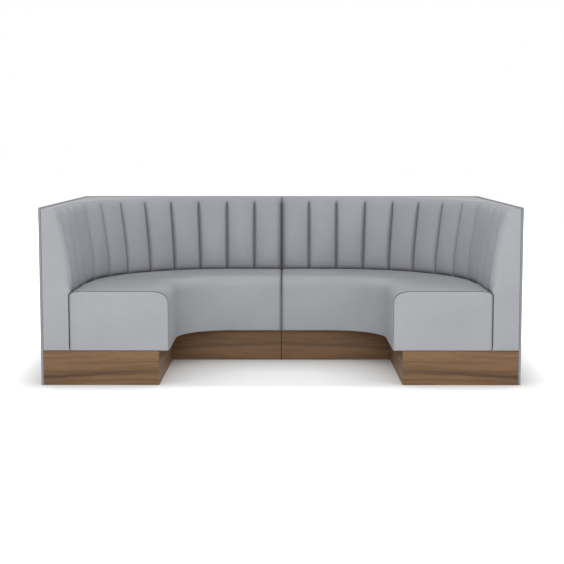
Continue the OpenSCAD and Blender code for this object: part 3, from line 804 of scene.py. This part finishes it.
def make_end(name, node, sides, width, start_share, face_y, material):
    """A covered panel on the front. Its rim turns in by width at each point.

    start_share is the part of that turn which the piece behind has already made, and face_y
    gives the place of the front face. Where width is zero, the rim has a small rounding.
    """
    counts = [len(side) - 1 for side in sides]
    outline = np.concatenate([side[:-1] for side in sides])
    normal = closed_normals(outline)
    soft = (width > EDGE_SMALL)[:, None]
    depth = COVER_Y - FRONT_Y
    rings = []
    for share in np.concatenate([[0], 1 - (1 - np.linspace(0.08, 1, 13)) ** 2]):
        x = start_share + (1 - start_share) * share
        at_edge = np.clip((share * depth - (depth - EDGE_SMALL)) / EDGE_SMALL, 0, 1)
        at_back = np.clip(1 - share * depth / BACK_EDGE, 0, 1)
        small = EDGE_SMALL * (1 - math.sqrt(1 - at_edge ** 2))
        small += BACK_EDGE * (1 - math.sqrt(1 - at_back ** 2))
        flat = outline - normal * np.where(soft, 0, small)
        flat[:, 0] -= width * (1 - math.sqrt(1 - x * x))
        rings.append(np.stack([flat[:, 0], COVER_Y - share * (COVER_Y - face_y(flat[:, 0], flat[:, 1])),
                               flat[:, 1]], axis=1))
    total = len(outline)
    rim = rings[-1][:, [0, 2]]
    ends = np.cumsum([0] + counts)
    rim_sides = [np.take(rim, range(ends[i], ends[i + 1] + 1), axis=0, mode="wrap")
                 for i in range(4)]
    grid = spread(rim_sides)
    rows, columns = grid.shape[:2]
    index = np.arange(rows * columns).reshape(rows, columns) + len(rings) * total
    last = (len(rings) - 1) * total
    index[:, 0] = last + np.arange(rows)
    index[-1, :] = last + ends[1] + np.arange(columns)
    index[::-1, -1] = last + ends[2] + np.arange(rows)
    index[0, ::-1] = last + (ends[3] + np.arange(columns)) % total
    x, z = grid[..., 0], grid[..., 1]
    front = np.stack([x, face_y(x, z), z], axis=-1).reshape(-1, 3)
    points = np.concatenate([np.concatenate(rings), front])
    quads, caps = loft_faces(len(rings), total)
    face = np.stack([index[:-1, :-1], index[:-1, 1:], index[1:, 1:], index[1:, :-1]], axis=-1).reshape(-1, 4)
    faces = quads + [caps[0]] + face.tolist()
    used = np.unique(np.concatenate([np.array(f) for f in faces]))
    renumber = np.zeros(len(points), int)
    renumber[used] = np.arange(len(used))
    faces = [renumber[np.array(f)].tolist() for f in faces]
    points = points[used]
    pair = both_halves(name, node, points, faces, material, sharp=60)
    # Painted shade on the rim of the seat end where it meets the seat cover's seam; the arm end gets none
    seam_painted_shade = np.clip(1 - (COVER_Y - points[:, 1]) / END_SHADE_REACH, 0, 1)
    add_shade(pair, seam_painted_shade if width.max() == 0 else np.zeros(len(points)))
    puff(pair, (rows - 2) * (columns - 2))


def arm_face_y(x, z):
    """The arm end is flat."""
    return np.full_like(x, FRONT_Y)


def seat_face_y(x, z):
    """The seat end falls back softly toward the arm."""
    near_arm = np.clip(1 - (x + HALF_W - BACK_T) / SEAT_END_RUN, 0, 1)
    return FRONT_Y + SEAT_END_BACK * (1 - np.sqrt(1 - near_arm ** 2))


def make_ends(material):
    """The covered panels on the ends of the arms and of the seat."""
    sides, width = arm_sides()
    make_end("arm_end_upholstery", "arm_end_cover", sides, width, EDGE_RUN / EDGE_Y, arm_face_y, material)
    sides = seat_end_sides()
    none = np.zeros(sum(len(side) - 1 for side in sides))
    make_end("seat_end_upholstery", "seat_end_cover", sides, none, 0, seat_face_y, material)


# Materials

WALNUT_TONES = ((0.26, (98, 70, 47)), (0.42, (116, 86, 59)), (0.55, (130, 98, 68)), (0.74, (140, 108, 77)))
STREAK_CLIMB = -0.045
STREAK_HEIGHT = 0.078
STREAK_WAVE = 0.03
STREAK_ABOVE = 0.017
STREAK_BELOW = 0.005
STREAK_TONE = 0.34
# Painted shade along the centre joint of the walnut: darkest level, and the distances over which it fades
WALNUT_JOINT_PAINTED_SHADE = 0.18
WALNUT_JOINT_SHADE_EDGE = (0.0015, 0.0045)


def node_material(name, kind="BsdfPrincipled"):
    """A new material and the shader node at its output."""
    material = bpy.data.materials.new(name)
    material.use_nodes = True
    nodes = material.node_tree.nodes
    nodes.clear()
    output = nodes.new("ShaderNodeOutputMaterial")
    shader = nodes.new("ShaderNode" + kind)
    material.node_tree.links.new(shader.outputs[0], output.inputs[0])
    return material, shader


def wire(material, node, inputs):
    """Sets a node's inputs to numbers, colours or other nodes' sockets."""
    for key, value in inputs.items():
        if isinstance(value, bpy.types.NodeSocket):
            material.node_tree.links.new(value, node.inputs[key])
        else:
            node.inputs[key].default_value = value


def add(material, kind, inputs=None, **settings):
    """A new node in a material or world, with its settings and inputs."""
    node = material.node_tree.nodes.new("ShaderNode" + kind)
    for key, value in settings.items():
        setattr(node, key, value)
    wire(material, node, inputs or {})
    return node


def ramp(material, factor, stops):
    """A colour ramp through [(place, grey or colour), ...]."""
    node = add(material, "ValToRGB", {"Fac": factor})
    elements = node.color_ramp.elements
    while len(elements) < len(stops):
        elements.new(0.5)
    for element, (place, colour) in zip(elements, stops):
        element.position = place
        element.color = (colour, colour, colour, 1) if isinstance(colour, float) else (*colour, 1)
    return node.outputs[0]


def srgb(red, green, blue):
    """Linear colour of an 8-bit screen colour."""
    return tuple(((c / 255 + 0.055) / 1.055) ** 2.4 if c > 10 else c / 3294.6 for c in (red, green, blue))


def mix(material, factor, a, b, blend="MIX"):
    """Colour between a and b, which are colours or sockets."""
    node = add(material, "Mix", data_type="RGBA", blend_type=blend)
    a, b = (c if isinstance(c, bpy.types.NodeSocket) else (*c, 1) for c in (a, b))
    wire(material, node, {0: factor, 6: a, 7: b})
    return node.outputs[2]


def times(material, tone, factor, share=1.0):
    """A colour multiplied by a factor, to a share."""
    return mix(material, share, tone, factor, "MULTIPLY")


def calc(material, operation, *values):
    """Result of a Math node."""
    return add(material, "Math", dict(enumerate(values)), operation=operation).outputs[0]


def remap(material, value, to_min, to_max, from_min=0.0, from_max=1.0):
    """Result of a Map Range node."""
    return add(material, "MapRange", {"Value": value, "From Min": from_min, "From Max": from_max,
                                      "To Min": to_min, "To Max": to_max}).outputs[0]


def noise(material, place, scale, detail=2.0, roughness=0.5, distortion=0.0, offset=(0, 0, 0), output="Fac"):
    """Output of a noise texture; three scales in place of one stretch it along an axis."""
    if isinstance(scale, tuple):
        place = add(material, "Mapping", {"Vector": place, "Scale": scale, "Location": offset}).outputs[0]
        scale = 1.0
    return add(material, "TexNoise", {"Vector": place, "Scale": scale, "Detail": detail,
                                      "Roughness": roughness, "Distortion": distortion}).outputs[output]


def cells(material, place, scale, feature="F1"):
    """Distance output of a cell texture."""
    return add(material, "TexVoronoi", {"Vector": place, "Scale": scale, "Randomness": 1.0},
               feature=feature).outputs["Distance"]


def bump(material, height, strength, distance=0.0004, normal=None):
    """Normal of a bumped surface, on top of an earlier bump where one is given."""
    inputs = {"Strength": strength, "Distance": distance, "Height": height}
    if normal is not None:
        inputs["Normal"] = normal
    return add(material, "Bump", inputs).outputs[0]


def upholstery(name, colour, gloss=0.35, with_painted_shade=True):
    """Smooth coated fabric: fine pebbled grain, faint tone variation, and painted shade in creases, seams and
    joints.
    """
    material, shader = node_material(name)
    place = add(material, "TexCoord").outputs["Object"]
    broad = noise(material, place, 3.5, 3.0, 0.55)
    mottle = noise(material, place, 140.0, 2.0, 0.6)
    grain = cells(material, place, 620.0)
    light = tuple(min(1, c * 1.05) for c in colour)
    dark = tuple(c * 0.95 for c in colour)
    base = mix(material, ramp(material, broad, [(0.3, 0.0), (0.7, 1.0)]), dark, light)
    base = times(material, base, ramp(material, mottle, [(0.25, 0.94), (0.75, 1.0)]))
    base = times(material, base, ramp(material, grain, [(0.0, 0.965), (0.6, 1.0)]))
    if with_painted_shade:
        # Painted shade: the shade attribute darkens the colour in creases, seams and joints
        shade = add(material, "Attribute", attribute_name="shade").outputs["Fac"]
        base = times(material, base, ramp(material, shade, SHADE_LEVELS))
    pebbles = bump(material, grain, 0.22)
    lines = ramp(material, cells(material, place, 95.0, "DISTANCE_TO_EDGE"), [(0.0, 0.0), (0.05, 1.0)])
    wire(material, shader, {"Base Color": base, "Specular IOR Level": gloss,
                            "Roughness": remap(material, mottle, 0.47, 0.59, 0.3, 0.7),
                            "Normal": bump(material, lines, 0.10, normal=pebbles)})
    return material


def wood_place(material, along):
    """Coordinates with the grain along one axis, mirrored about the centre joint."""
    place = add(material, "TexCoord").outputs["Object"]
    parts = add(material, "SeparateXYZ", {"Vector": place})
    x = add(material, "Math", {0: parts.outputs["X"]}, operation="ABSOLUTE").outputs[0]
    order = {"X": (x, parts.outputs["Y"], parts.outputs["Z"]),
             "Y": (parts.outputs["Y"], x, parts.outputs["Z"]),
             "Z": (parts.outputs["Z"], x, parts.outputs["Y"])}[along]
    return add(material, "CombineXYZ", {"X": order[0], "Y": order[1], "Z": order[2]}).outputs[0]


def walnut(name, along, level):
    """Lacquered walnut: long wavy figure, fine pores, one dark streak low on the boards, and painted shade
    along the centre joint.
    """
    material, shader = node_material(name)
    place = wood_place(material, along)
    bend = noise(material, place, (1.6, 3.0, 5.0), output="Color")
    shift = add(material, "VectorMath", {0: bend, 1: (0.0, 0.02, 0.05)}, operation="MULTIPLY").outputs[0]
    bent = add(material, "VectorMath", {0: place, 1: shift}, operation="ADD").outputs[0]
    figure = noise(material, bent, (1.4, 26.0, 34.0), 5.0, 0.58, 0.6, (3.1, 0.4, 0.7))
    fibres = noise(material, bent, (7.0, 190.0, 260.0), 4.0, 0.6)
    pores = noise(material, place, (38.0, 900.0, 900.0), 1.0)
    tone = ramp(material, figure, [(position, srgb(*colour)) for position, colour in WALNUT_TONES])
    tone = times(material, tone, ramp(material, fibres, [(0.3, 0.80), (0.62, 1.0)]), 0.8)
    tone = times(material, tone, ramp(material, pores, [(0.33, 0.62), (0.42, 1.0)]), 0.6)
    tone = times(material, tone, dark_streak(material, place))
    # Painted shade: a dark line along the centre joint of the boards whose grain runs across
    if along == "X":
        from_joint = add(material, "SeparateXYZ", {"Vector": place}).outputs["X"]
        tone = times(material, tone, remap(material, from_joint, WALNUT_JOINT_PAINTED_SHADE, 1.0, *WALNUT_JOINT_SHADE_EDGE))
    tone = times(material, tone, (level, level, level))
    wire(material, shader, {"Base Color": tone, "Specular IOR Level": 0.32,
                            "Roughness": remap(material, fibres, 0.42, 0.6),
                            "Normal": bump(material, fibres, 0.2)})
    return material


def dark_streak(material, place):
    """Factor of the dark streak that climbs slowly toward the middle of the bench."""
    parts = add(material, "SeparateXYZ", {"Vector": place})
    slope = calc(material, "MULTIPLY_ADD", parts.outputs["X"], STREAK_CLIMB, STREAK_HEIGHT)
    line = calc(material, "MULTIPLY_ADD", noise(material, place, (4.0, 0.0, 0.0)), STREAK_WAVE, slope)
    off = calc(material, "SUBTRACT", parts.outputs["Z"], line)
    above = calc(material, "DIVIDE", off, STREAK_ABOVE)
    below = calc(material, "DIVIDE", off, -STREAK_BELOW)
    wide = calc(material, "MAXIMUM", above, below)
    fall = calc(material, "ADD", 1.0, calc(material, "MULTIPLY", wide, wide))
    depth = calc(material, "DIVIDE", 1.0, fall)
    outward = remap(material, parts.outputs["X"], 0.55, 1.0, 0.5, 1.2)
    return ramp(material, calc(material, "MULTIPLY", depth, outward), [(0.0, 1.0), (1.0, STREAK_TONE)])


def pale_wood(name, light, dark, along="X"):
    """Planed softwood or sanded plywood."""
    material, shader = node_material(name)
    place = wood_place(material, along)
    figure = noise(material, place, (1.5, 24.0, 24.0), 4.0, distortion=0.8)
    fibres = noise(material, place, (9.0, 240.0, 240.0), 3.0)
    tone = mix(material, ramp(material, figure, [(0.35, 0.0), (0.65, 1.0)]), dark, light)
    tone = times(material, tone, ramp(material, fibres, [(0.3, 0.86), (0.6, 1.0)]), 0.8)
    wire(material, shader, {"Base Color": tone, "Roughness": 0.68, "Normal": bump(material, fibres, 0.25)})
    return material


def speckled(name, colour, scale, depth, roughness, metallic=0.0):
    """Foam, laminate or plated steel: a fine even grain with faint blotches."""
    material, shader = node_material(name)
    place = add(material, "TexCoord").outputs["Object"]
    grain = noise(material, place, scale, 4.0, 0.65)
    blotch = noise(material, place, 5.0, 3.0)
    darker = tuple(c * 0.94 for c in colour)
    tone = mix(material, ramp(material, blotch, [(0.35, 0.0), (0.65, 1.0)]), darker, colour)
    tone = times(material, tone, ramp(material, grain, [(0.3, 0.9), (0.7, 1.0)]))
    wire(material, shader, {"Base Color": tone, "Metallic": metallic,
                            "Roughness": remap(material, grain, roughness - 0.06, roughness + 0.06),
                            "Normal": bump(material, grain, depth, 0.0005)})
    return material


# One grey fabric in four copies whose tones are painted light and shade: lightest on the cap, lighter on the
# end panels than on the back and seat
fabric_back = upholstery("back_upholstery_material", srgb(159, 160, 167))
fabric_seat = upholstery("seat_upholstery_material", srgb(161, 163, 167))
fabric_end_painted_lighter = upholstery("end_upholstery_painted_lighter_material", srgb(163, 165, 169))
fabric_cap_painted_lighter = upholstery("cap_upholstery_painted_lighter_material", srgb(171, 173, 176), gloss=0.18, with_painted_shade=False)
walnut_across = walnut("walnut_along_width", "X", 0.93)
walnut_deep = walnut("walnut_along_depth", "Y", 1.0)
laminate = speckled("grey_laminate", srgb(138, 140, 143), 700.0, 0.12, 0.55)
plywood = pale_wood("plywood_material", srgb(222, 203, 168), srgb(198, 172, 130))
SOFTWOOD_TONES = (srgb(216, 195, 154), srgb(190, 160, 112))
softwood_x = pale_wood("softwood_along_width", *SOFTWOOD_TONES)
softwood_y = pale_wood("softwood_along_depth", *SOFTWOOD_TONES, "Y")
softwood_z = pale_wood("softwood_upright", *SOFTWOOD_TONES, "Z")
foam_material = speckled("foam_material", srgb(238, 228, 186), 900.0, 0.8, 0.9)
steel = speckled("zinc_steel_material", srgb(170, 173, 177), 1500.0, 0.1, 0.34, 1.0)

CAD_MATERIALS = (
    (walnut_across, ("base_front_board", "base_centre_board")),
    (walnut_deep, ("base_inner_board",)),
    (softwood_x, ("base_rear_rail",)),
    (softwood_y, ("base_side_rail", "base_cross_rails")),
    (softwood_z, ("corner_post",)),
    (plywood, ("floor_board", "seat_front_board", "seat_rear_board", "seat_ribs", "seat_end_board",
               "seat_deck", "joint_board", "back_ribs", "arm_end_board", "back_skin", "top_plate")),
    (laminate, ("side_panel", "rear_panel")),
    (steel, ("joint_bolts", "joint_washers", "joint_nuts", "floor_screws")),
)
EASED_R = {"base_front_board": 0.0008, "base_inner_board": 0.0008, "base_centre_board": 0.0025,
           "side_panel": 0.0012, "rear_panel": 0.0012}


def finish_cad_nodes():
    """Gives each carried-over node its material, and the boards in view an eased edge."""
    material_of = {kind: material for material, kinds in CAD_MATERIALS for kind in kinds}
    for name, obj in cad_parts.items():
        kind = name.split("_", 1)[1] if name.startswith(("left_", "right_")) else name
        if kind not in material_of:
            continue
        obj.data.materials.clear()
        obj.data.materials.append(material_of[kind])
        if kind in EASED_R:
            weld = obj.modifiers.new("weld", "WELD")
            weld.merge_threshold = 0.00001
            bevel = obj.modifiers.new("eased_edges", "BEVEL")
            bevel.width = EASED_R[kind]
            bevel.segments = 2
            bevel.limit_method = "ANGLE"
            bevel.angle_limit = math.radians(50)
            bevel.harden_normals = True


make_back_cover(fabric_back)
make_back_pad(foam_material)
make_cap(fabric_cap_painted_lighter)
make_seat_foam(foam_material)
make_seat_cover(fabric_seat)
make_ends(fabric_end_painted_lighter)
finish_cad_nodes()


# Floor, light and world

FLOOR_HALF = 14.0
FLOOR_TONE = 0.65
FLOOR_LIFT = 0.27
FLOOR_FADE = 0.32
FLOOR_PAINTED_SHADOW_REACH = 0.45
WORLD_STRENGTH = 0.9
FRONT_LAMP = ((0, -5.2, 2.3), (2.6, 1.8), 61)
LEFT_LAMP = ((-4.0, -4.2, 2.0), (1.5, 1.5), 21.5)
RIGHT_LAMP = ((4.0, -4.2, 2.0), (1.5, 1.5), 21.5)
LAMP_AIM = (0, 0, 0.5)


def make_floor():
    """A pale floor that runs out into white away from the bench and keeps its shadow; near the bench its glow
    is dimmed by ambient occlusion, a painted shadow.
    """
    mesh = bpy.data.meshes.new("floor")
    h = FLOOR_HALF
    mesh.from_pydata([(-h, -h, 0), (h, -h, 0), (h, h, 0), (-h, h, 0)], [], [(0, 1, 2, 3)])
    floor = bpy.data.objects.new("floor", mesh)
    scene.collection.objects.link(floor)
    material, total = node_material("floor_material", "AddShader")
    diffuse = add(material, "BsdfDiffuse", {"Color": (FLOOR_TONE, FLOOR_TONE, FLOOR_TONE, 1)})
    path = add(material, "LightPath")
    seen = calc(material, "MAXIMUM", path.outputs["Is Camera Ray"], path.outputs["Is Glossy Ray"])
    place = add(material, "TexCoord").outputs["Object"]
    parts = add(material, "SeparateXYZ", {"Vector": place})
    past_side = calc(material, "SUBTRACT", calc(material, "ABSOLUTE", parts.outputs["X"]), HALF_W)
    past_front = calc(material, "SUBTRACT", FRONT_Y, parts.outputs["Y"])
    past_rear = calc(material, "SUBTRACT", parts.outputs["Y"], REAR_Y)
    past_end = calc(material, "MAXIMUM", past_front, past_rear)
    outside = calc(material, "MAXIMUM", past_side, past_end)
    white = remap(material, outside, FLOOR_LIFT, 1.0, 0.0, FLOOR_FADE)
    # Painted shadow: ambient occlusion dims the floor's glow near the bench and in the leg space
    clear = add(material, "AmbientOcclusion", {"Distance": FLOOR_PAINTED_SHADOW_REACH}).outputs["AO"]
    glow_with_painted_shadow = calc(material, "MULTIPLY", seen, calc(material, "MULTIPLY", white, clear))
    glow = add(material, "Emission", {"Color": (1, 1, 1, 1), "Strength": glow_with_painted_shadow})
    wire(material, total, {0: diffuse.outputs[0], 1: glow.outputs[0]})
    mesh.materials.append(material)


def make_world():
    """Even white light, at full white only where the camera sees it."""
    world = bpy.data.worlds.new("world")
    world.use_nodes = True
    world.node_tree.nodes.clear()
    seen = add(world, "LightPath").outputs["Is Camera Ray"]
    strength = remap(world, seen, WORLD_STRENGTH, 1.0)
    background = add(world, "Background", {"Color": (1, 1, 1, 1), "Strength": strength})
    add(world, "OutputWorld", {"Surface": background.outputs[0]})
    scene.world = world


def soft_lamp(name, place, size, power):
    """A rectangular lamp turned toward the bench."""
    data = bpy.data.lights.new(name, "AREA")
    data.shape = "RECTANGLE"
    data.size, data.size_y = size
    data.energy = power
    lamp = bpy.data.objects.new(name, data)
    lamp.location = place
    lamp.rotation_euler = (Vector(LAMP_AIM) - Vector(place)).to_track_quat("-Z", "Y").to_euler()
    scene.collection.objects.link(lamp)


def make_lights():
    """A large lamp in front and a smaller one on either side."""
    soft_lamp("front_lamp", *FRONT_LAMP)
    soft_lamp("left_lamp", *LEFT_LAMP)
    soft_lamp("right_lamp", *RIGHT_LAMP)


make_floor()
make_world()
make_lights()
scene.view_settings.view_transform = "Standard"
